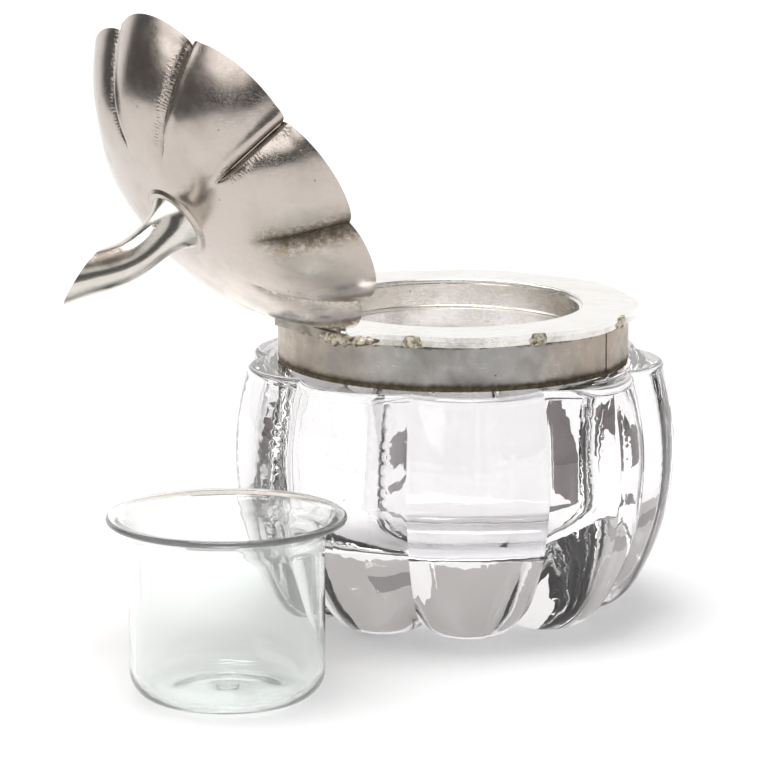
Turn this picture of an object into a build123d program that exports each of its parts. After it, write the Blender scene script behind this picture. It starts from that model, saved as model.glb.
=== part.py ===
from build123d import *
import os
from math import cos, radians, sin

os.makedirs("parts", exist_ok=True)

# Lidded melon-lobed glass dish with a loose glass liner. Millimetres, +Z up, origin at the
# centre of the ground base. Azimuths run from the front (-Y) towards +X.

# lobes, shared by the glass, the plate and the lid
lobe_count = 9
lobe_pitch = 360 / lobe_count
hinge_azimuth = -53.5          # the hinge sits in a notch between two lobes

# glass jar
lobe_axis_radius = 23.0        # each lobe is turned about its own upright axis at this radius
foot_flat_radius = 3.4
shoulder_z = 46.3
neck_radius = 30.9
well_radius = 21.0
well_floor_z = 15.4
well_corner = 8.0
mouth_radius = 23.6
mouth_ledge_z = 45.7

# silver mount
collar_radius = 32.0
collar_bottom_z = 47.05
collar_wall = 0.65
plate_bottom_z = 55.65
plate_top_z = 56.45
plate_crest_radius = 33.9
plate_notch_radius = 32.5
opening_radius = 23.5
moulding_bottom_z = 54.55
moulding_inset = 0.3
sleeve_inner_radius = 23.0
seat_hole_radius = 17.9
seat_thickness = 0.8
bead_z = 51.3
bead_radius = 0.45

# hinge
pin_offset = 32.2              # from the jar's axis to the pin's axis
pin_z = 57.0
pin_radius = 0.5
pin_clearance = 0.05
knuckle_radius = 1.1
knuckle_clearance = 0.12
barrel_half = 9.5
outer_knuckle = 3.7            # length of each end knuckle
middle_knuckle = 3.8
axial_gap = 0.1
open_angle = 121.5             # how far the lid stands open

# lid
lid_rim_z = 56.5
lid_crest_radius = 34.5
lid_height = 14.0
lid_wall = 0.8
lid_exponent = 3.1             # the dome's height falls as 1 - (radius fraction) ** exponent
stem_length = 19.4             # from the top of the dome to the middle of the cut end
stem_cut_lean = 4.1

# liner, standing on the table beside the jar
liner_x = -39.4
liner_y = -63.0
liner_radius = 16.75
liner_wall = 1.0
liner_rim_z = 31.15
liner_rim_radius = 20.0
liner_bead_radius = 0.55


def at(radius, azimuth):
    return (radius * sin(radians(azimuth)), -radius * cos(radians(azimuth)))


def scalloped_outline(crest, notch):
    """One convex arc per lobe, meeting in notches, with a notch at the hinge."""
    for k in range(lobe_count):
        start = hinge_azimuth + k * lobe_pitch
        middle = start + lobe_pitch / 2
        ThreePointArc(at(notch, start), at(crest, middle), at(notch, start + lobe_pitch))


def save(solid, name):
    solid.label = name
    export_step(solid, f"parts/{name}.step")


outward = (sin(radians(hinge_azimuth)), -cos(radians(hinge_azimuth)), 0)
along_pin = (cos(radians(hinge_azimuth)), sin(radians(hinge_azimuth)), 0)
pin_point = (pin_offset * outward[0], pin_offset * outward[1], pin_z)
pin_axis = Axis(pin_point, along_pin)
# section plane of the hinge: x outward, y up, its normal back along the pin
hinge_section = Plane(origin=pin_point, x_dir=outward, z_dir=(-along_pin[0], -along_pin[1], 0))

# the barrel is split into five knuckles, three on the jar and two on the lid
jar_knuckles = [
    (-barrel_half, -barrel_half + outer_knuckle),
    (-middle_knuckle / 2, middle_knuckle / 2),
    (barrel_half - outer_knuckle, barrel_half),
]
lid_knuckles = [
    (-barrel_half + outer_knuckle + axial_gap, -middle_knuckle / 2 - axial_gap),
    (middle_knuckle / 2 + axial_gap, barrel_half - outer_knuckle - axial_gap),
]


def rod_along_pin(spans, radius, spare=0.0):
    """Round rods on the pin's axis over the given spans."""
    for low, high in spans:
        with Locations(hinge_section.offset((low + high) / 2)):
            Cylinder(radius, high - low + 2 * spare)


# ---------------------------------------------------------------- glass jar
lobe_axis = Axis((lobe_axis_radius, 0, 0), (0, 0, 1))

# outline of one lobe: radius about its own axis, height
lobe_side = [
    (foot_flat_radius, 0),
    (6.6, 0.9),
    (9.4, 3.2),
    (12.5, 8.0),
    (15.4, 15.0),
    (17.2, 23.4),
    (17.6, 31.5),
    (17.0, 38.2),
    (15.6, 44.8),
]
lobe_corner = [(15.6, 44.8), (15.25, 45.85), (14.2, shoulder_z)]

# one ninth of the body: a turned lobe, the solid middle, trimmed to its own sector
with BuildPart() as glass_sector:
    with BuildSketch(Plane.XZ):
        with BuildLine():
            Line((lobe_axis_radius, 0), (lobe_axis_radius + foot_flat_radius, 0))
            Spline(*[(lobe_axis_radius + r, z) for r, z in lobe_side])
            ThreePointArc(*[(lobe_axis_radius + r, z) for r, z in lobe_corner])
            Line((lobe_axis_radius + 14.2, shoulder_z), (lobe_axis_radius, shoulder_z))
            Line((lobe_axis_radius, shoulder_z), (lobe_axis_radius, 0))
        make_face()
    revolve(axis=lobe_axis)
    with BuildSketch(Plane.XZ):
        with BuildLine():
            Line((0, 0), (16.5, 0))
            Spline(
                (16.5, 0),
                (20.6, 2.0),
                (23.6, 6.2),
                (25.1, 12.0),
                (25.5, 19.0),
                tangents=((1, 0.1), (0, 1)),
            )
            Polyline((25.5, 19.0), (25.5, shoulder_z), (0, shoulder_z), (0, 0))
        make_face()
    revolve(axis=Axis.Z)
    with BuildSketch(Plane.XY.offset(-1)):
        half_width = 60 * sin(radians(lobe_pitch / 2)) / cos(radians(lobe_pitch / 2))
        with BuildLine():
            Polyline((0, 0), (60, -half_width), (60, half_width), close=True)
        make_face()
    extrude(amount=60, mode=Mode.INTERSECT)

with BuildPart() as glass_body:
    with PolarLocations(0, lobe_count, start_angle=hinge_azimuth - 90 + lobe_pitch / 2):
        add(glass_sector.part)
    with BuildSketch(Plane.XY.offset(shoulder_z)):
        Circle(neck_radius)
    extrude(amount=plate_bottom_z - shoulder_z)
    with BuildSketch(Plane.XZ):
        with BuildLine():
            turned_in = well_corner * (1 - cos(radians(45)))
            Line((0, well_floor_z), (well_radius - well_corner, well_floor_z))
            ThreePointArc(
                (well_radius - well_corner, well_floor_z),
                (well_radius - turned_in, well_floor_z + turned_in),
                (well_radius, well_floor_z + well_corner),
            )
            Polyline(
                (well_radius, well_floor_z + well_corner),
                (well_radius, mouth_ledge_z),
                (mouth_radius, mouth_ledge_z),
                (mouth_radius, plate_bottom_z + 1),
                (0, plate_bottom_z + 1),
                (0, well_floor_z),
            )
        make_face()
    revolve(axis=Axis.Z, mode=Mode.SUBTRACT)

save(glass_body.part, "glass_body")

# plaster that beds the collar on the glass neck and shows as a dark line below it
with BuildPart() as neck_cement:
    with BuildSketch(Plane.XZ):
        with BuildLine():
            Polyline(
                (neck_radius, shoulder_z),
                (collar_radius - 0.2, shoulder_z),
                (collar_radius - 0.2, collar_bottom_z),
                (collar_radius - collar_wall, collar_bottom_z),
                (collar_radius - collar_wall, plate_bottom_z),
                (neck_radius, plate_bottom_z),
                close=True,
            )
        make_face()
    revolve(axis=Axis.Z)

save(neck_cement.part, "neck_cement")

# ---------------------------------------------------------------- silver mount
lap_azimuth = 58
lap_height = 0.14

with BuildPart() as collar_band:
    with BuildSketch(Plane.XY.offset(collar_bottom_z)):
        Circle(collar_radius)
        Circle(collar_radius - collar_wall, mode=Mode.SUBTRACT)
    extrude(amount=plate_bottom_z - collar_bottom_z)
    # the band's end laps over its start
    with BuildSketch(Plane.XZ.rotated((0, 0, lap_azimuth - 90))):
        with Locations((collar_radius - lap_height, (collar_bottom_z + moulding_bottom_z) / 2)):
            Rectangle(
                2 * lap_height,
                moulding_bottom_z - collar_bottom_z,
                align=(Align.MIN, Align.CENTER),
            )
    revolve(axis=Axis.Z, revolution_arc=5)

save(collar_band.part, "collar_band")

with BuildPart() as hinge_gap:
    # room for the barrel in the plate
    with BuildSketch(hinge_section):
        with Locations((-1.25, -3.6)):
            Rectangle(6, 6, align=(Align.MIN, Align.MIN))
    extrude(amount=barrel_half + 0.2, both=True)

with BuildPart() as bracket_gap:
    with BuildSketch(hinge_section):
        with Locations((-3.6, -3.6)):
            Rectangle(8, 6, align=(Align.MIN, Align.MIN))
    extrude(amount=barrel_half + 0.2, both=True)

with BuildPart() as rim_plate:
    with BuildSketch(Plane.XY.offset(plate_bottom_z)):
        with BuildLine():
            scalloped_outline(plate_crest_radius, plate_notch_radius)
        make_face()
        Circle(opening_radius, mode=Mode.SUBTRACT)
    extrude(amount=plate_top_z - plate_bottom_z)
    round_edges = rim_plate.edges().filter_by(GeomType.CIRCLE)
    opening_edges = round_edges.filter_by(lambda edge: abs(edge.radius - opening_radius) < 0.01)
    fillet(opening_edges.group_by(Axis.Z)[-1], 0.35)
    add(hinge_gap.part, mode=Mode.SUBTRACT)

save(rim_plate.part, "rim_plate")

with BuildPart() as edge_moulding:
    with BuildSketch(Plane.XY.offset(moulding_bottom_z)):
        with BuildLine():
            scalloped_outline(plate_crest_radius - moulding_inset, plate_notch_radius - moulding_inset)
        make_face()
        Circle(collar_radius, mode=Mode.SUBTRACT)
    extrude(amount=plate_bottom_z - moulding_bottom_z)
    add(bracket_gap.part, mode=Mode.SUBTRACT)

save(edge_moulding.part, "edge_moulding")

with BuildPart() as liner_seat:
    with BuildSketch(Plane.XY.offset(mouth_ledge_z)):
        Circle(mouth_radius)
        Circle(seat_hole_radius, mode=Mode.SUBTRACT)
    extrude(amount=seat_thickness)
    seat_lip = liner_seat.edges().filter_by(GeomType.CIRCLE).group_by(Axis.Z)[-1].sort_by(SortBy.RADIUS)[0]
    fillet(seat_lip, 0.3)

save(liner_seat.part, "liner_seat")

sleeve_bottom_z = mouth_ledge_z + seat_thickness

with BuildPart() as inner_sleeve:
    with BuildSketch(Plane.XY.offset(sleeve_bottom_z)):
        Circle(mouth_radius)
        Circle(sleeve_inner_radius, mode=Mode.SUBTRACT)
    extrude(amount=plate_bottom_z - sleeve_bottom_z)

save(inner_sleeve.part, "inner_sleeve")

with BuildPart() as sleeve_bead:
    with BuildSketch(Plane.XZ):
        with BuildLine():
            Line((sleeve_inner_radius, bead_z - bead_radius), (sleeve_inner_radius, bead_z + bead_radius))
            ThreePointArc(
                (sleeve_inner_radius, bead_z + bead_radius),
                (sleeve_inner_radius - bead_radius, bead_z),
                (sleeve_inner_radius, bead_z - bead_radius),
            )
        make_face()
    revolve(axis=Axis.Z)

save(sleeve_bead.part, "sleeve_bead")

# solder run into each notch of the rim from below
with BuildPart() as notch_solder:
    for k in range(1, lobe_count):
        notch_azimuth = hinge_azimuth + k * lobe_pitch
        x, y = at(31.2, notch_azimuth)
        with Locations((x, y, 55.35)):
            Sphere(2.25)
    with BuildSketch(Plane.XY.offset(plate_top_z - 0.1)):
        Circle(40)
    extrude(amount=5, mode=Mode.SUBTRACT)
    with BuildSketch(Plane.XY.offset(moulding_bottom_z - 0.2)):
        Circle(40)
    extrude(amount=-5, mode=Mode.SUBTRACT)
    with BuildSketch(Plane.XY.offset(50)):
        Circle(collar_radius)
    extrude(amount=10, mode=Mode.SUBTRACT)
    add(rim_plate.part, mode=Mode.SUBTRACT)
    add(edge_moulding.part, mode=Mode.SUBTRACT)

save(notch_solder.part, "notch_solder")

# ---------------------------------------------------------------- hinge
with BuildPart() as pin_hole:
    rod_along_pin([(-barrel_half, barrel_half)], pin_radius, 1)

with BuildPart() as running_hole:
    rod_along_pin([(-barrel_half, barrel_half)], pin_radius + pin_clearance, 1)

with BuildPart() as room_for_lid_knuckles:
    rod_along_pin(lid_knuckles, knuckle_radius + knuckle_clearance, axial_gap)

with BuildPart() as room_for_jar_knuckles:
    rod_along_pin(jar_knuckles, knuckle_radius + knuckle_clearance, axial_gap)

with BuildPart() as hinge_bracket:
    # block soldered to the outside of the collar, level with the moulding
    with BuildSketch(hinge_section):
        with Locations((-3.4, moulding_bottom_z - pin_z)):
            Rectangle(4.3, 1.45, align=(Align.MIN, Align.MIN))
    extrude(amount=barrel_half, both=True)
    with BuildSketch(Plane.XY.offset(50)):
        Circle(collar_radius)
    extrude(amount=plate_bottom_z - 50, mode=Mode.SUBTRACT)
    # nothing of it reaches under the plate's top surface inside the slot
    with BuildSketch(hinge_section):
        with Locations((-1.25, plate_bottom_z - pin_z)):
            Rectangle(6, 3, align=(Align.MAX, Align.MIN))
    extrude(amount=barrel_half + 1, both=True, mode=Mode.SUBTRACT)
    rod_along_pin(jar_knuckles, knuckle_radius)
    add(room_for_lid_knuckles.part, mode=Mode.SUBTRACT)
    add(pin_hole.part, mode=Mode.SUBTRACT)

save(hinge_bracket.part, "hinge_bracket")

with BuildPart() as hinge_pin:
    rod_along_pin([(-barrel_half, barrel_half)], pin_radius, 0.15)

save(hinge_pin.part, "hinge_pin")

# The lid's pieces are drawn shut, then turned about the pin to stand open.
with BuildPart() as lid_leaf:
    with BuildSketch(hinge_section):
        with BuildLine():
            Polyline(
                (-2.3, 2.9),
                (-2.3, -0.4),
                (0, -0.4),
                (0, 0.5),
                (-1.4, 0.5),
                (-1.4, 2.9),
                close=True,
            )
        make_face()
    extrude(amount=lid_knuckles[1][1], both=True)
    leaf_plate = lid_leaf.part
    add(room_for_jar_knuckles.part, mode=Mode.SUBTRACT)
    rod_along_pin(lid_knuckles, knuckle_radius)
    add(running_hole.part, mode=Mode.SUBTRACT)

save(lid_leaf.part.rotate(pin_axis, open_angle), "lid_leaf")

# ---------------------------------------------------------------- lid
# radius fraction, and how far the crease between two lobes is drawn in at that fraction
dome_stations = [
    (1.0, 0.928),
    (0.95, 0.925),
    (0.88, 0.925),
    (0.80, 0.932),
    (0.70, 0.948),
    (0.60, 0.967),
    (0.50, 0.984),
    (0.38, 0.996),
    (0.25, 1.0),
    (0.14, 1.0),
]


def scalloped_dome(crest_radius, height):
    """Solid dome lofted through scalloped sections, from the rim up to a small round top."""
    with BuildPart() as dome:
        for fraction, crease in dome_stations:
            rise = height * (1 - fraction ** lid_exponent)
            radius = crest_radius * fraction
            with BuildSketch(Plane.XY.offset(lid_rim_z + rise)):
                with BuildLine():
                    scalloped_outline(radius, radius * crease)
                make_face()
        loft()
    return dome.part


dome_outside = scalloped_dome(lid_crest_radius, lid_height)
dome_inside = scalloped_dome(lid_crest_radius - lid_wall - 0.1, lid_height - lid_wall)

with BuildPart() as lid_shell:
    add(dome_outside)
    add(dome_inside, mode=Mode.SUBTRACT)
    # the rim is filed back inside the pin so that it clears the plate as it turns
    with BuildSketch(hinge_section):
        with Locations((-0.1, -3)):
            Rectangle(10, 8, align=(Align.MIN, Align.MIN))
    extrude(amount=13, both=True, mode=Mode.SUBTRACT)
    # and cut out round the barrel
    with BuildSketch(hinge_section):
        with Locations((-1.25, -3)):
            Rectangle(10, 4.3, align=(Align.MIN, Align.MIN))
    extrude(amount=barrel_half + 0.2, both=True, mode=Mode.SUBTRACT)
    # the leaf is let into the wall
    add(leaf_plate, mode=Mode.SUBTRACT)

save(lid_shell.part.rotate(pin_axis, open_angle), "lid_shell")

lid_top_z = lid_rim_z + lid_height

# the stem leans away from the hinge: distance along, lean, radius
stem_stations = [
    (-1.6, 0.0, 6.6),
    (0.4, 0.0, 5.5),
    (2.4, 0.0, 4.3),
    (5.0, 0.0, 3.65),
    (8.5, 0.05, 3.5),
    (12.3, 0.6, 3.55),
    (16.2, 1.95, 3.65),
    (20.5, 4.0, 3.75),
    (29.0, 8.6, 3.8),
]

with BuildPart() as lid_stem:
    for k, (rise, lean, radius) in enumerate(stem_stations):
        if k == 0:
            slope = 0.0
        else:
            last_rise, last_lean, last_radius = stem_stations[k - 1]
            slope = (lean - last_lean) / (rise - last_rise)
        centre = (-lean * outward[0], -lean * outward[1], lid_top_z + rise)
        facing = (-slope * outward[0], -slope * outward[1], 1)
        with BuildSketch(Plane(origin=centre, x_dir=along_pin, z_dir=facing)):
            Circle(radius)
    loft()
    # the end is cut off on the slant, to a point on one side
    cut_centre = (-stem_cut_lean * outward[0], -stem_cut_lean * outward[1], lid_top_z + stem_length)
    cut_facing = tuple(-0.68 * along - 0.695 * out for along, out in zip(along_pin, outward))
    with BuildSketch(Plane(origin=cut_centre, z_dir=(cut_facing[0], cut_facing[1], 0.26))):
        Rectangle(40, 40)
    extrude(amount=12, mode=Mode.SUBTRACT)
    add(dome_outside, mode=Mode.SUBTRACT)

save(lid_stem.part.rotate(pin_axis, open_angle), "lid_stem")

# solder fillet where the stem's flared foot meets the dome
with BuildPart() as stem_solder:
    with BuildSketch(Plane.XY.offset(lid_top_z - 1.6)):
        Circle(8.8)
    extrude(amount=2.0, taper=50)
    add(dome_outside, mode=Mode.SUBTRACT)
    add(lid_stem.part, mode=Mode.SUBTRACT)

save(stem_solder.part.rotate(pin_axis, open_angle), "stem_solder")

# ---------------------------------------------------------------- liner
inner_radius = liner_radius - liner_wall

with BuildPart() as glass_liner:
    with BuildSketch(Plane.XZ):
        with BuildLine():
            # the pontil mark, then the base pushed up a little inside its ring
            Line((0, 0.95), (1.3, 0.95))
            ThreePointArc((1.3, 0.95), (1.65, 0.55), (2.0, 0.85))
            Spline((2.0, 0.85), (5.5, 0.6), (9.0, 0.15), (11.0, 0), tangents=((1, 0), (1, 0)))
            Line((11.0, 0), (12.0, 0))
            ThreePointArc((12.0, 0), (15.35, 1.4), (liner_radius, 4.75))
            Line((liner_radius, 4.75), (liner_radius, 26.5))
            Spline(
                (liner_radius, 26.5),
                (17.25, 28.7),
                (18.6, 30.2),
                (liner_rim_radius, 30.6),
                tangents=((0, 1), (1, 0)),
            )
            ThreePointArc(
                (liner_rim_radius, 30.6),
                (liner_rim_radius + liner_bead_radius, liner_rim_z),
                (liner_rim_radius, liner_rim_z + liner_bead_radius),
            )
            Spline(
                (liner_rim_radius, liner_rim_z + liner_bead_radius),
                (17.9, 31.15),
                (16.35, 29.3),
                (inner_radius, 26.6),
                tangents=((-1, 0), (0, -1)),
            )
            Line((inner_radius, 26.6), (inner_radius, 5.3))
            ThreePointArc((inner_radius, 5.3), (14.7, 2.45), (11.9, 1.3))
            Spline((11.9, 1.3), (9.0, 1.3), (5.0, 1.75), (0, 2.0), tangents=((-1, 0), (-1, 0)))
            Line((0, 2.0), (0, 0.95))
        make_face()
    revolve(axis=Axis.Z)

save(glass_liner.part.moved(Location((liner_x, liner_y, 0))), "glass_liner")
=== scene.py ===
import math

import bmesh
import bpy
from mathutils import Matrix, Vector, noise


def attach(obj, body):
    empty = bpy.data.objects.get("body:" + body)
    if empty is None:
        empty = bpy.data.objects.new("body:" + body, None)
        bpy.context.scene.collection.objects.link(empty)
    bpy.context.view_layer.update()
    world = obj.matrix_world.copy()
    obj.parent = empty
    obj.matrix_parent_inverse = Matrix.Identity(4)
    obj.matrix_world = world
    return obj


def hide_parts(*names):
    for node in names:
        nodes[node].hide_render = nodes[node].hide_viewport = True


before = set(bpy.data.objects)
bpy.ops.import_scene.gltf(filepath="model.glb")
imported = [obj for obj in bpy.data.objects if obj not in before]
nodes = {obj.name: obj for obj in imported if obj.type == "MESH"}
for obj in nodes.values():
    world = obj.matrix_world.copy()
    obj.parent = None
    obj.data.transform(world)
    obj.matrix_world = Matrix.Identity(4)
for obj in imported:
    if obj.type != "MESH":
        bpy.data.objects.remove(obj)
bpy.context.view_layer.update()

MM = 0.001

# The lid's lobes and its hinge, as in the CAD source. Azimuths run from the front (-Y) towards +X.
LOBES = 9
PITCH = 360 / LOBES
HINGE_AZIMUTH = -53.5
LID_RIM_Z = 56.5
LID_RADIUS = 34.5
LID_HEIGHT = 14.0
LID_WALL = 0.8
LID_EXPONENT = 3.1
OPEN_ANGLE = 121.5
OUTWARD = Vector((math.sin(math.radians(HINGE_AZIMUTH)), -math.cos(math.radians(HINGE_AZIMUTH)), 0))
ALONG_PIN = Vector((math.cos(math.radians(HINGE_AZIMUTH)), math.sin(math.radians(HINGE_AZIMUTH)), 0))
PIN = OUTWARD * 32.2 + Vector((0, 0, 57.0))


# ---------------------------------------------------------------- materials
class Shader:
    """A material's node tree, with short ways to add the nodes that the finishes share."""

    def __init__(self, name):
        self.material = bpy.data.materials.new(name)
        self.material.use_nodes = True
        self.tree = self.material.node_tree
        self.tree.nodes.clear()
        self.output = self.tree.nodes.new("ShaderNodeOutputMaterial")
        coordinates = self.node("ShaderNodeTexCoord").outputs["Object"]
        scale = self.node("ShaderNodeVectorMath", {0: coordinates, "Scale": 1 / MM}, operation="SCALE")
        self.place = scale.outputs[0]  # the point on the piece, in millimetres

    def node(self, kind, inputs=None, **settings):
        made = self.tree.nodes.new(kind)
        for key, value in settings.items():
            setattr(made, key, value)
        for key, value in (inputs or {}).items():
            self.feed(made.inputs[key], value)
        return made

    def feed(self, socket, value):
        if isinstance(value, bpy.types.NodeSocket):
            self.tree.links.new(value, socket)
        else:
            socket.default_value = value

    def noise(self, scale, detail=4.0, roughness=0.55, stretch=None, turn=(0, 0, 0)):
        """Noise from 0 to 1 with that many features a millimetre, drawn out by stretch."""
        vector = self.place
        if stretch:
            mapping = self.node("ShaderNodeMapping", {"Vector": vector, "Rotation": turn, "Scale": stretch})
            vector = mapping.outputs[0]
        inputs = {"Vector": vector, "Scale": scale, "Detail": detail, "Roughness": roughness}
        return self.node("ShaderNodeTexNoise", inputs).outputs[0]

    def steps(self, value, low, high, start=0.0, end=1.0):
        """start below low, end above high, and a smooth change between them."""
        return self.node(
            "ShaderNodeMapRange",
            {"Value": value, "From Min": low, "From Max": high, "To Min": start, "To Max": end},
            interpolation_type="SMOOTHSTEP",
        ).outputs[0]

    def maths(self, operation, a, b=0.0):
        return self.node("ShaderNodeMath", {0: a, 1: b}, operation=operation).outputs[0]

    def times(self, a, b):
        return self.maths("MULTIPLY", a, b)

    def plus(self, a, b):
        return self.maths("ADD", a, b)

    def specks(self, cells, size, channel, share):
        """Round specks, one at most in each Voronoi cell, and only in some of the cells."""
        cell = self.node("ShaderNodeTexVoronoi", {"Vector": self.place, "Scale": cells})
        chosen = self.node("ShaderNodeSeparateColor", {0: cell.outputs["Color"]}).outputs[channel]
        return self.times(self.steps(cell.outputs["Distance"], *size, 1, 0), self.steps(chosen, *share))

    def blend(self, share, a, b):
        """Colour a at share 0, b at share 1."""
        made = self.node("ShaderNodeMix", data_type="RGBA")
        self.feed(made.inputs[0], share)
        self.feed(made.inputs[6], a)
        self.feed(made.inputs[7], b)
        return made.outputs[2]

    def attribute(self, name):
        return self.node("ShaderNodeAttribute", attribute_name=name).outputs["Fac"]

    def along(self, axis):
        """How far along X, Y or Z the point is, in millimetres."""
        return self.node("ShaderNodeSeparateXYZ", {0: self.place}).outputs[axis]

    def bump(self, value, depth_mm, below=None):
        inputs = {"Height": value, "Distance": depth_mm * MM, "Strength": 1.0}
        if below is not None:
            inputs["Normal"] = below
        return self.node("ShaderNodeBump", inputs).outputs[0]

    def surface(self, shader):
        self.tree.links.new(shader, self.output.inputs["Surface"])
        return self.material


def rgb(r, g, b):
    return (r, g, b, 1.0)


def silver(
    name,
    colour,
    tarnish,
    roughness,
    patchy=0.4,
    scratches=0.004,
    grain=0.004,
    dents=0.0,
    pits=0.5,
    foot=None,
    creases=False,
    brushed=None,
    brow=None,
    painted_side_tone=None,
    worn=None,
):
    """Worn silver. tarnish is the colour of its dull patches and pits. foot is a height, in
    millimetres, below which grime has gathered, and brow one just below which a thin dark line
    runs, broken in places. A painted reflection can tint the piece towards its left and right.
    A painted reflection can also brighten it below one height, fading out above another, in the
    colour given. With creases, the mesh says where they are, and the bottom of each crease gets
    painted shade."""
    s = Shader(name)
    clouds = s.noise(0.11, 6, 0.6)
    fine = s.noise(1.1, 5, 0.65)
    share = s.times(s.steps(clouds, 0.42, 0.68), patchy)
    # painted reflection: the left and right of the piece painted in another tone
    if painted_side_tone:
        across = s.maths("ABSOLUTE", s.along("X"))
        colour = s.blend(s.steps(across, 8, 26), colour, painted_side_tone)
    # painted reflection: the piece painted brighter below a height, standing in for what its lower part
    # reflects
    if worn:
        low, high, sheen_colour = worn
        colour = s.blend(s.steps(s.along("Z"), low, high), sheen_colour, colour)
    shade = s.blend(share, colour, tarnish)
    shade = s.blend(s.steps(fine, 0.35, 0.8, 0.0, 0.22), shade, tarnish)

    spot = s.specks(0.42, (0.05, 0.11), 0, (0.72, 0.76))
    shade = s.blend(s.times(spot, pits), shade, rgb(0.10, 0.085, 0.07))

    rough = s.steps(s.noise(0.5, 5, 0.6), 0.3, 0.75, roughness * 0.8, roughness * 1.35)
    rough = s.plus(rough, s.times(share, 0.12))

    normal = None
    if dents:
        normal = s.bump(s.noise(0.16, 2, 0.5), dents)
    lines = []
    for angle in (0.35, 1.45, 2.4):
        drawn = s.noise(1.0, 3, 0.7, stretch=(0.12, 7.0, 7.0), turn=(angle, angle * 0.7, angle))
        lines.append(s.steps(drawn, 0.56, 0.72))
    together = s.plus(s.plus(lines[0], lines[1]), lines[2])
    normal = s.bump(together, -scratches, normal)
    normal = s.bump(s.noise(3.2, 4, 0.7), grain, normal)
    normal = s.bump(spot, -0.03, normal)
    if brushed:
        # fine lines round the piece: noise drawn out along the wall, thin in height
        streaks = s.noise(1.0, 4, 0.7, stretch=(0.05, 0.05, 9.0))
        normal = s.bump(streaks, brushed, normal)
        rough = s.plus(rough, s.steps(streaks, 0.4, 0.7, 0.0, 0.08))

    if foot is not None:
        wander = s.times(s.noise(0.55, 4, 0.6), 1.5)
        level = s.maths("SUBTRACT", s.along("Z"), wander)
        grime = s.steps(level, foot - 2.1, foot - 1.0, 0.9, 0)
        shade = s.blend(grime, shade, rgb(0.11, 0.085, 0.045))
        rough = s.plus(rough, s.times(grime, 0.25))
    # a thin dark line just below the brow height, with gaps
    if brow is not None:
        line = s.steps(s.plus(s.along("Z"), s.noise(0.8, 4, 0.6)), brow - 0.1, brow + 0.3, 0, 0.85)
        gaps = s.steps(s.noise(0.35, 3), 0.4, 0.55)
        shade = s.blend(s.times(line, gaps), shade, rgb(0.10, 0.085, 0.06))
    if creases:
        dirt = s.attribute("dirt")
        broken = s.times(dirt, s.steps(s.noise(0.9, 5, 0.7), 0.3, 0.62))
        shade = s.blend(s.times(broken, 0.85), shade, rgb(0.17, 0.125, 0.06))
        # painted shade: the bottom of each crease painted near black
        shade = s.blend(s.attribute("crease_shade"), shade, rgb(0.06, 0.05, 0.04))
        rough = s.plus(rough, s.times(broken, 0.3))
        # short tool marks across the crease
        phase = s.plus(s.times(s.attribute("along"), 9.0), s.times(s.noise(0.8, 4, 0.6), 14.0))
        marks = s.times(s.maths("SINE", phase), s.attribute("hatch"))
        marks = s.times(marks, s.steps(s.noise(0.6, 3), 0.4, 0.6))
        normal = s.bump(marks, 0.035, normal)
        normal = s.bump(s.times(s.noise(2.2, 5, 0.7), dirt), 0.12, normal)

    metal = s.node(
        "ShaderNodeBsdfPrincipled",
        {"Base Color": shade, "Metallic": 1.0, "Roughness": rough, "Normal": normal},
    )
    return s.surface(metal.outputs[0])


def glass(name, tint, ripple, ripple_scale, clarity, lit_through):
    """Clear glass with a slight ripple and a few seeds. clarity is the share of light that isn't
    scattered. Light for shadows passes straight through it, times lit_through."""
    s = Shader(name)
    normal = s.bump(s.noise(ripple_scale, 2, 0.5), ripple)
    seed = s.specks(0.33, (0.03, 0.06), 1, (0.6, 0.62))
    normal = s.bump(seed, 0.02, normal)
    clear = s.node(
        "ShaderNodeBsdfPrincipled",
        {
            "Base Color": tint,
            "Roughness": s.steps(s.noise(0.3, 4), 0.4, 0.8, 0.0, 0.012),
            "IOR": 1.51,
            "Transmission Weight": clarity,
            "Normal": normal,
        },
    )
    passing = s.node("ShaderNodeBsdfTransparent", {"Color": lit_through})
    lamp = s.node("ShaderNodeLightPath").outputs["Is Shadow Ray"]
    both = s.node("ShaderNodeMixShader", {0: lamp, 1: clear.outputs[0], 2: passing.outputs[0]})
    return s.surface(both.outputs[0])


def plaster(name):
    s = Shader(name)
    stain = s.blend(s.steps(s.noise(0.9, 6, 0.7), 0.35, 0.65), rgb(0.10, 0.075, 0.04), rgb(0.24, 0.19, 0.12))
    # only the edge below the collar is stained
    shade = s.blend(s.steps(s.along("Z"), 47.1, 47.9), stain, rgb(0.62, 0.59, 0.55))
    normal = s.bump(s.noise(2.5, 5, 0.7), 0.08)
    dull = s.node(
        "ShaderNodeBsdfPrincipled", {"Base Color": shade, "Roughness": 0.85, "Normal": normal}
    )
    return s.surface(dull.outputs[0])


def solder(name):
    s = Shader(name)
    lumps = s.noise(0.9, 5, 0.65)
    shade = s.blend(s.steps(lumps, 0.35, 0.6), rgb(0.16, 0.13, 0.09), rgb(0.80, 0.74, 0.60))
    normal = s.bump(lumps, 0.5)
    normal = s.bump(s.noise(4.0, 4, 0.7), 0.03, normal)
    metal = s.node(
        "ShaderNodeBsdfPrincipled",
        {
            "Base Color": shade,
            "Metallic": 1.0,
            "Roughness": s.steps(s.noise(1.8), 0.3, 0.7, 0.25, 0.5),
            "Normal": normal,
        },
    )
    return s.surface(metal.outputs[0])


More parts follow.
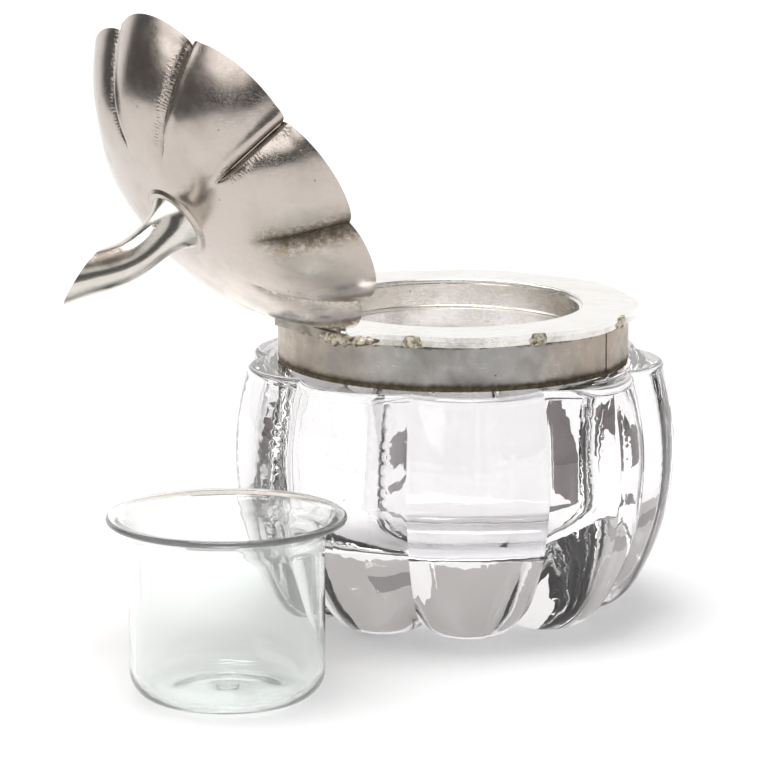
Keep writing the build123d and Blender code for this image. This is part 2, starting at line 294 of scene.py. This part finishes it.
finishes = {
    "glass_body": glass("clear_glass", rgb(0.915, 0.905, 0.912), 0.04, 0.09, 0.98, rgb(0.58, 0.58, 0.59)),
    "glass_liner": glass("thin_glass", rgb(0.965, 0.985, 0.975), 0.012, 0.1, 0.94, rgb(0.66, 0.67, 0.665)),
    "neck_cement": plaster("stained_plaster"),
    # its left and right painted warmer and darker, a painted reflection
    "collar_band": silver(
        "collar_silver", rgb(0.49, 0.48, 0.465), rgb(0.33, 0.315, 0.29), 0.3,
        patchy=0.85, dents=0.10, pits=0.9, foot=48.35, brushed=0.012, brow=54.4, painted_side_tone=rgb(0.46, 0.385, 0.32),
    ),
    "rim_plate": silver(
        "plate_silver", rgb(0.88, 0.875, 0.86), rgb(0.68, 0.64, 0.58), 0.13, patchy=0.25, dents=0.05
    ),
    "edge_moulding": silver(
        "edge_silver", rgb(0.86, 0.84, 0.80), rgb(0.45, 0.41, 0.34), 0.14, patchy=0.7, dents=0.12
    ),
    "liner_seat": silver("seat_silver", rgb(0.70, 0.68, 0.64), rgb(0.42, 0.39, 0.34), 0.3),
    "inner_sleeve": silver(
        "sleeve_silver", rgb(0.97, 0.95, 0.92), rgb(0.74, 0.69, 0.63), 0.2,
        patchy=0.45, dents=0.12, brushed=0.008,
    ),
    "sleeve_bead": silver("bead_silver", rgb(0.86, 0.84, 0.8), rgb(0.6, 0.56, 0.5), 0.15, patchy=0.2),
    "notch_solder": solder("rough_solder"),
    "hinge_bracket": silver(
        "hinge_silver", rgb(0.50, 0.47, 0.42), rgb(0.20, 0.17, 0.12), 0.4, patchy=0.9, grain=0.03, dents=0.2
    ),
    "hinge_pin": silver("pin_silver", rgb(0.45, 0.43, 0.4), rgb(0.2, 0.17, 0.13), 0.35, patchy=0.6),
    # its lower lobes painted brighter, a painted reflection
    "lid_shell": silver(
        "lid_silver", rgb(0.53, 0.475, 0.435), rgb(0.42, 0.37, 0.32), 0.155,
        patchy=0.45, scratches=0.0035, grain=0.0035, dents=0.05, pits=0.35,
        creases=True, worn=(58, 76, rgb(0.90, 0.82, 0.75)),
    ),
    "lid_leaf": silver(
        "leaf_silver", rgb(0.50, 0.47, 0.42), rgb(0.22, 0.19, 0.14), 0.4, patchy=0.9, grain=0.02
    ),
    "lid_stem": silver(
        "stem_silver", rgb(0.70, 0.67, 0.62), rgb(0.5, 0.46, 0.4), 0.12, patchy=0.25, dents=0.05
    ),
    "stem_solder": silver(
        "foot_silver", rgb(0.55, 0.495, 0.45), rgb(0.38, 0.33, 0.28), 0.2, patchy=0.6, grain=0.012, dents=0.15
    ),
}


def finish_with(piece, name):
    piece.data.materials.clear()
    piece.data.materials.append(finishes[name])


for name, piece in nodes.items():
    finish_with(piece, name)


# ---------------------------------------------------------------- meshes
def linked(name, data):
    made = bpy.data.objects.new(name, data)
    bpy.context.scene.collection.objects.link(made)
    return made


def finished(mesh, name):
    """A linked object from a bmesh, with its faces turned outwards."""
    bmesh.ops.recalc_face_normals(mesh, faces=mesh.faces)
    data = bpy.data.meshes.new(name)
    mesh.to_mesh(data)
    mesh.free()
    return linked(name, data)


def skin(mesh, rings):
    """Joins each ring of vertices to the next and closes both ends."""
    for low, high in zip(rings, rings[1:]):
        for i in range(len(low)):
            j = (i + 1) % len(low)
            mesh.faces.new((low[i], low[j], high[j], high[i]))
    mesh.faces.new(rings[0][::-1])
    mesh.faces.new(rings[-1])


def on_rim(radius, azimuth, height):
    """A point at that distance from the jar's axis, the azimuth in radians from the front."""
    return Vector((radius * math.sin(azimuth), -radius * math.cos(azimuth), height))


def smooth_shaded(piece):
    for face in piece.data.polygons:
        face.use_smooth = True


# ---------------------------------------------------------------- lid
# For each notch, counted from the hinge: where the crease starts (radius fraction), its depth
# and width in millimetres, which side stands proud (+1 is the higher azimuth), by how much,
# and how dirty it is.
CREASES = [
    (0.55, 0.5, 0.7, 1, 0.2, 0.6),
    (0.47, 0.7, 0.7, 1, 0.5, 1.0),
    (0.50, 0.8, 1.5, 1, 0.1, 1.2),
    (0.52, 0.9, 0.5, 1, 0.75, 0.25),
    (0.40, 0.9, 0.6, -1, 0.7, 0.4),
    (0.42, 0.9, 0.6, -1, 0.7, 0.3),
    (0.50, 0.7, 0.6, -1, 0.5, 0.4),
    (0.50, 0.6, 0.6, -1, 0.4, 0.5),
    (0.48, 0.6, 0.6, 1, 0.4, 0.7),
]
CREASE_RUN_IN = 0.2  # radius fraction over which a crease comes up to its full depth
PROUD_AT, PROUD_WIDTH = 1.0, 1.1  # the ridge beside the crease, in millimetres from its middle
STEP_FALL = 3.2  # millimetres over which the low side comes back up
HATCH_AT, HATCH_WIDTH = 1.5, 0.7  # the band of tool marks on the low side
INSIDE_SHARE = 0.4  # how much of a crease shows inside the lid
LOBE_STEPS = 26  # half the number of vertices round one lobe
OUTER_RINGS, INNER_RINGS = 84, 40
# radius fraction, and how far the crease between two lobes is drawn in at that fraction
DRAWN_IN = [
    (0.0, 1.0), (0.25, 1.0), (0.38, 0.996), (0.50, 0.984), (0.60, 0.967),
    (0.70, 0.948), (0.80, 0.932), (0.88, 0.925), (0.95, 0.925), (1.0, 0.928),
]


def between(table, x):
    for (x0, y0), (x1, y1) in zip(table, table[1:]):
        if x <= x1:
            return y0 + (y1 - y0) * (x - x0) / (x1 - x0)
    return table[-1][1]


def smooth(x, low, high):
    t = min(1.0, max(0.0, (x - low) / (high - low)))
    return t * t * (3 - 2 * t)


def lid_point(turn_from_hinge, fraction, inside):
    """A point of the shut lid's wall, with what the material needs to know there."""
    lobe = int(turn_from_hinge // PITCH) % LOBES
    within = turn_from_hinge % PITCH
    q = within / PITCH * 2 - 1
    drawn = between(DRAWN_IN, fraction)
    full = (LID_RADIUS - (LID_WALL + 0.1 if inside else 0)) * fraction
    radius = full * (drawn + (1 - drawn) * (1 - q * q))
    rise = (LID_HEIGHT - (LID_WALL if inside else 0)) * (1 - fraction ** LID_EXPONENT)
    push = dirt = crease_shade = hatch = 0.0
    for notch, arc in ((lobe, within), ((lobe + 1) % LOBES, within - PITCH)):
        start, depth, width, side, step, dirty = CREASES[notch]
        away = math.radians(arc) * radius
        shown = smooth(fraction, start, start + CREASE_RUN_IN)
        if not shown:
            continue
        wobble = 1 + 0.35 * noise.noise(Vector((fraction * 9, notch * 7.3, 1.7)))
        groove = depth * wobble * shown
        push -= groove * math.exp(-((abs(away) / width) ** 1.6))
        if away * side > 0:
            push += step * 0.5 * shown * math.exp(-(((abs(away) - PROUD_AT) / PROUD_WIDTH) ** 2))
        else:
            push -= step * shown * math.exp(-abs(away) / STEP_FALL)
            band = math.exp(-(((abs(away) - HATCH_AT) / HATCH_WIDTH) ** 2))
            hatch = max(hatch, shown * band * smooth(fraction, start, start + 0.05))
        dirt = max(dirt, dirty * shown * math.exp(-((away / (width * 1.9)) ** 2)))
        # painted shade along the bottom of each crease
        crease_shade = max(crease_shade, shown * 0.85 * math.exp(-((away / (width * 0.55)) ** 2)))
    if inside:
        push *= INSIDE_SHARE
    azimuth = math.radians(HINGE_AZIMUTH + turn_from_hinge)
    slope = LID_HEIGHT / LID_RADIUS * LID_EXPONENT * fraction ** (LID_EXPONENT - 1)
    across, upward = slope / math.hypot(slope, 1), 1 / math.hypot(slope, 1)
    # the rim stays flat on its plane, so a push there goes straight in or out
    upward *= smooth(1 - fraction, 0.0, 0.05)
    radius += push * max(across, 0.35)
    point = on_rim(radius, azimuth, LID_RIM_Z + rise + push * upward)
    return point, min(1.0, dirt), min(1.0, crease_shade), hatch


def make_lid():
    spread = []  # angles round a lobe, closer together towards its creases
    for i in range(2 * LOBE_STEPS):
        x = i / LOBE_STEPS - 1
        spread.append((0.5 * x + 0.5 * math.sin(math.pi * x / 2) + 1) / 2 * PITCH)
    turns = [lobe * PITCH + s for lobe in range(LOBES) for s in spread]
    outer = [math.sin(math.pi / 2 * i / OUTER_RINGS) for i in range(4, OUTER_RINGS + 1)]
    inner = [math.sin(math.pi / 2 * i / INNER_RINGS) for i in range(INNER_RINGS, 1, -1)]
    mesh = bmesh.new()
    marks = {name: mesh.verts.layers.float.new(name) for name in ("dirt", "crease_shade", "hatch", "along")}
    rings = []
    for fractions, inside in ((outer, False), (inner, True)):
        for fraction in fractions:
            ring = []
            for turn in turns:
                point, dirt, crease_shade, hatch = lid_point(turn, fraction, inside)
                vert = mesh.verts.new(point * MM)
                values = {"dirt": dirt, "crease_shade": crease_shade, "hatch": hatch, "along": LID_RADIUS * fraction * 1.15}
                for key, layer in marks.items():
                    vert[layer] = 0.0 if inside and key != "along" else values[key]
                ring.append(vert)
            rings.append(ring)
    skin(mesh, rings)
    return finished(mesh, "lid_dome")


def hinge_box(x, y, half_length):
    """A box across the hinge: x outward from the pin, y up from it, in millimetres."""
    made = bmesh.new()
    bmesh.ops.create_cube(made, size=1.0)
    for vert in made.verts:
        a = x[0] if vert.co.x < 0 else x[1]
        b = y[0] if vert.co.y < 0 else y[1]
        c = half_length if vert.co.z > 0 else -half_length
        vert.co = (PIN + OUTWARD * a + Vector((0, 0, b)) + ALONG_PIN * c) * MM
    return finished(made, "hinge_cutter")


def applied(piece):
    """Replaces the piece's mesh by what its modifiers make of it."""
    graph = bpy.context.evaluated_depsgraph_get()
    data = bpy.data.meshes.new_from_object(piece.evaluated_get(graph), depsgraph=graph)
    piece.modifiers.clear()
    piece.data = data


def cut(piece, cutters):
    for cutter in cutters:
        step = piece.modifiers.new("cut", "BOOLEAN")
        step.operation = "DIFFERENCE"
        step.solver = "EXACT"
        step.object = cutter
    applied(piece)
    for cutter in cutters:
        bpy.data.objects.remove(cutter)


def open_up():
    """Turns a point of the shut lid to where the open lid has it."""
    there = Matrix.Translation(PIN * MM)
    return there @ Matrix.Rotation(math.radians(OPEN_ANGLE), 4, ALONG_PIN) @ there.inverted()


lid = make_lid()
filed_back = hinge_box((-0.1, 10), (-3, 5), 13)
round_barrel = hinge_box((-1.25, 9), (-3, 1.3), 9.7)
cut(lid, [filed_back, round_barrel])
lid.data.transform(open_up())
smooth_shaded(lid)
finish_with(lid, "lid_shell")
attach(lid, "lid")
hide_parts("lid_shell")


# ---------------------------------------------------------------- solder at the hinge
def solder_run(start, end, radius, z, thick, top):
    """A lumpy run of solder along the rim from one azimuth to another, flat above top."""
    steps, around = 60, 16
    mesh = bmesh.new()
    rings = []
    for i in range(steps + 1):
        t = i / steps
        azimuth = math.radians(start + (end - start) * t)
        lump = 0.75 + 0.55 * noise.noise(Vector((t * 7, 3.1, 0.4)))
        size = thick * lump * math.sin(math.pi * min(0.97, max(0.03, t))) ** 0.5
        middle = z - 0.35 * math.sin(math.pi * t) + 0.25 * noise.noise(Vector((t * 5, 9.2, 1.1)))
        ring = []
        for j in range(around):
            turn = 2 * math.pi * j / around
            rough = size * (1 + 0.35 * noise.noise(Vector((t * 22, math.cos(turn), math.sin(turn)))))
            height = min(top, middle + rough * math.sin(turn))
            ring.append(mesh.verts.new(on_rim(radius + rough * math.cos(turn), azimuth, height) * MM))
        rings.append(ring)
    skin(mesh, rings)
    return finished(mesh, "hinge_solder")


# it stays just below the rim plate's top, clear of the shut lid
hinge_solder = solder_run(-45, -24, 33.75, 55.2, 1.3, 56.38)
smooth_shaded(hinge_solder)
finish_with(hinge_solder, "notch_solder")
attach(hinge_solder, "jar")


# ---------------------------------------------------------------- floor, light and camera
def plain(name, colour, roughness, glow):
    """A plain matt surface. glow is what it gives off itself, near the jar and far behind it."""
    s = Shader(name)
    mottle = s.noise(0.004, 3)
    shade = s.blend(s.steps(mottle, 0.3, 0.7, 0, 0.06), rgb(*colour), rgb(*(0.93 * c for c in colour)))
    lit = s.steps(s.along("Y"), 100, 1100, *glow)
    inputs = {"Base Color": shade, "Roughness": roughness, "Emission Color": shade, "Emission Strength": lit}
    return s.surface(s.node("ShaderNodeBsdfPrincipled", inputs).outputs[0])


def flat(name, corners, finish):
    """One flat face through the corners, in metres."""
    data = bpy.data.meshes.new(name)
    data.from_pydata(corners, [], [tuple(range(len(corners)))])
    data.materials.append(finish)
    return linked(name, data)


# a white table top that ends in front of the object and beside it, and runs on behind
left, right, front, back, drop = -0.48, 0.6, -0.37, 2.5, -0.02 * MM
table = [(left, front, drop), (right, front, drop), (2 * right, back, drop), (2 * left, back, drop)]
floor = flat("floor", table, plain("white_floor", (0.84, 0.84, 0.845), 0.75, (0.11, 0.5)))


def card(name, corners, finish):
    """An upright card beside the jar, seen only through its glass. Corners in millimetres."""
    made = flat(name, [tuple(c * MM for c in corner) for corner in corners], finish)
    made.visible_camera = made.visible_glossy = made.visible_diffuse = made.visible_shadow = False


def card_finish(name, colour):
    return plain(name, colour, 0.9, (0.02, 0.02))


dark = card_finish("dark_card", (0.16, 0.14, 0.14))
grey = card_finish("grey_card", (0.56, 0.545, 0.535))
mid_grey = card_finish("mid_grey_card", (0.30, 0.285, 0.28))
card("card_right", [(100, 43, 0), (100, 86, 3), (100, 86, 11.5), (100, 43, 12.5)], dark)
back_corners = [(33.5, 100, 0), (56, 119, 0), (56, 119, 8), (40, 105.5, 10), (37, 103, 5.5), (33.5, 100, 2)]
card("card_back", back_corners, dark)
card("card_left", [(-100, 81, 0), (-100, 96, 0), (-100, 96, 5.5), (-100, 81, 5.5)], dark)
card("card_side", [(100, -47, 5), (100, -30, 5), (100, -30, 68), (100, -47, 68)], dark)
card("card_behind", [(-55, 101, 20), (18, 101, 20), (18, 101, 65), (-55, 101, 65)], grey)
strip_corners = [(-55, 100, 23.5), (-2, 100, 23), (-4, 100, 27), (-30, 100, 27.5), (-55, 100, 26)]
card("card_strip", strip_corners, mid_grey)

lamp_data = bpy.data.lights.new("overhead", "AREA")
lamp_data.size = 0.5
lamp_data.energy = 6.5
lamp = linked("overhead", lamp_data)
lamp.location = (-0.08, 0.05, 0.95)
lamp_target = Vector((0, 0, 0.03))
lamp.rotation_euler = (lamp_target - lamp.location).to_track_quat("-Z", "Y").to_euler()

world = bpy.data.worlds.new("studio")
bpy.context.scene.world = world
world.use_nodes = True
w = world.node_tree
w.nodes.clear()


def wnode(kind, inputs=None, **settings):
    made = w.nodes.new(kind)
    for key, value in settings.items():
        setattr(made, key, value)
    for key, value in (inputs or {}).items():
        if isinstance(value, bpy.types.NodeSocket):
            w.links.new(value, made.inputs[key])
        else:
            made.inputs[key].default_value = value
    return made


def wsteps(value, low, high, start, end):
    return wnode(
        "ShaderNodeMapRange",
        {"Value": value, "From Min": low, "From Max": high, "To Min": start, "To Max": end},
        interpolation_type="SMOOTHSTEP",
    ).outputs[0]


def wmaths(operation, *values):
    return wnode("ShaderNodeMath", dict(enumerate(values)), operation=operation).outputs[0]


# A dark room with a white backdrop behind the table and soft lights overhead, at the left, at the
# right and high above the camera.
direction = wnode("ShaderNodeSeparateXYZ", {0: wnode("ShaderNodeTexCoord").outputs["Generated"]})
x, y, z = (direction.outputs[axis] for axis in "XYZ")
backdrop_light = wsteps(y, 0.5, 0.75, 0.0, 1.15)
overhead_light = wsteps(z, 0.88, 0.96, 0.0, 1.3)
# the lower edge of the left light rises towards the back
above = wmaths("ADD", z, wmaths("MULTIPLY_ADD", y, -0.4, -0.24))
left_light = wmaths("MULTIPLY", wsteps(x, -0.62, -0.46, 2.0, 0.0), wsteps(above, 0.07, 0.13, 0.0, 1.0))
right_light = wmaths("MULTIPLY", wsteps(x, 0.6, 0.8, 0.0, 0.9), wsteps(z, 0.25, 0.4, 0.0, 1.0))
front_light = wmaths("MULTIPLY", wsteps(y, -0.5, -0.3, 0.9, 0.0), wsteps(z, 0.38, 0.5, 0.0, 1.0))
strength = 0.13  # of the dark room itself
for light in (backdrop_light, overhead_light, left_light, right_light, front_light):
    strength = wmaths("MAXIMUM", light, strength)
room = wnode("ShaderNodeBackground", {"Color": (1.0, 0.985, 0.97, 1.0), "Strength": strength})
backdrop = wnode("ShaderNodeBackground", {"Color": (1, 1, 1, 1), "Strength": 1.0})
seen = wnode("ShaderNodeLightPath").outputs["Is Camera Ray"]
mixed = wnode("ShaderNodeMixShader", {0: seen, 1: room.outputs[0], 2: backdrop.outputs[0]})
out = wnode("ShaderNodeOutputWorld")
w.links.new(mixed.outputs[0], out.inputs["Surface"])

EXPOSURE = -0.12
ELEVATION = math.radians(11.7)
DISTANCE = 0.824
LOOK_AT = Vector((-0.0129, 0.0, 0.0415))
FOCAL_LENGTH, SENSOR_WIDTH = 211.8, 36.0

bpy.context.scene.view_settings.view_transform = "Standard"
bpy.context.scene.view_settings.look = "None"
bpy.context.scene.view_settings.exposure = EXPOSURE

camera_data = bpy.data.cameras.new("camera")
camera_data.sensor_width = SENSOR_WIDTH
camera_data.lens = FOCAL_LENGTH
camera_data.clip_start, camera_data.clip_end = 0.05, 20.0
camera = linked("camera", camera_data)
camera.location = LOOK_AT + Vector((0, -math.cos(ELEVATION), math.sin(ELEVATION))) * DISTANCE
camera.rotation_euler = (math.pi / 2 - ELEVATION, 0, 0)
bpy.context.scene.camera = camera
